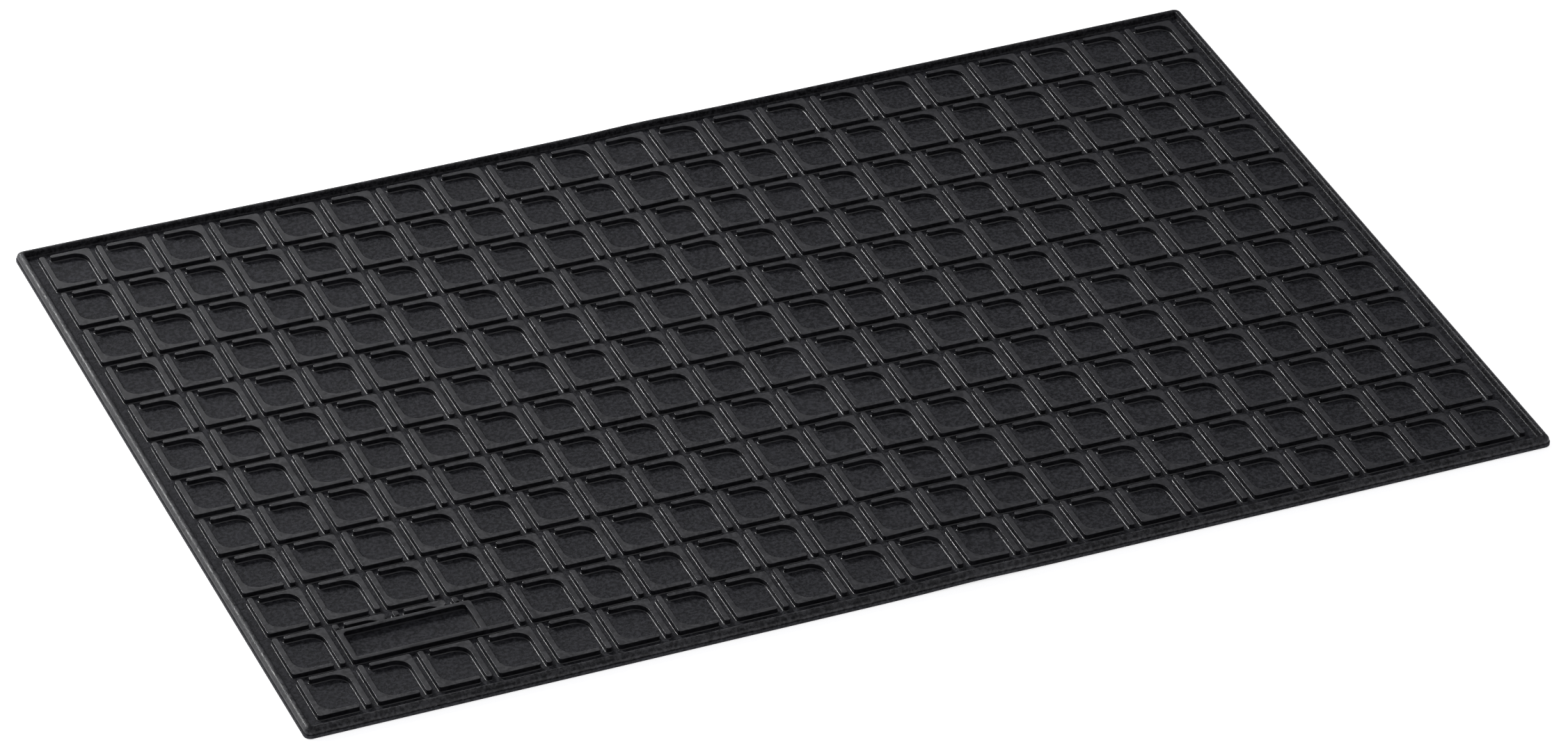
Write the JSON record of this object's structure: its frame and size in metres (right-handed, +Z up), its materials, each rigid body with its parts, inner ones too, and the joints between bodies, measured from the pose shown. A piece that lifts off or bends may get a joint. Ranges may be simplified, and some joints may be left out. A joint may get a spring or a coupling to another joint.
{
  "type": "door mat",
  "caption": "Rectangular moulded rubber scraper door mat with L-shaped ribs in open cells, a rounded raised rim and a fold line across the middle.",
  "frame": {"origin": "on the ground under the middle of the mat", "axes": "+X along the long side, +Y across the mat to its rear edge, +Z up out of the ribs"},
  "size_m": [0.6, 0.4, 0.0048],
  "materials": {
    "backing": "matt moulded black rubber",
    "ribs": "matt moulded black rubber with a fine grain",
    "rim": "satin moulded black rubber",
    "plate": "satin moulded black rubber"
  },
  "bodies": {
    "left_half": {"backing_sheet_left": "backing", "rim_left": "rim", "rim_front_left": "rim", "rim_rear_left": "rim", "tread_column_01": "ribs", "tread_column_02": "ribs", "tread_column_03": "ribs", "tread_column_04": "ribs", "tread_column_05": "ribs", "tread_column_06": "ribs", "tread_column_07": "ribs", "tread_column_08": "ribs", "tread_column_09": "ribs", "tread_column_10": "ribs", "tread_column_11": "ribs", "plate_frame": "plate"},
    "right_half": {"backing_sheet_right": "backing", "rim_right": "rim", "rim_front_right": "rim", "rim_rear_right": "rim", "tread_column_12": "ribs", "tread_column_13": "ribs", "tread_column_14": "ribs", "tread_column_15": "ribs", "tread_column_16": "ribs", "tread_column_17": "ribs", "tread_column_18": "ribs", "tread_column_19": "ribs", "tread_column_20": "ribs", "tread_column_21": "ribs"}
  },
  "joints": [
    {"name": "fold", "type": "hinge", "parent": "left_half", "child": "right_half", "pos_m": [0.01393, 0, 0.0058], "axis": [0, -1, 0], "range_deg": [0, 178], "stiffness_Nm_per_rad": 0.06}
  ]
}
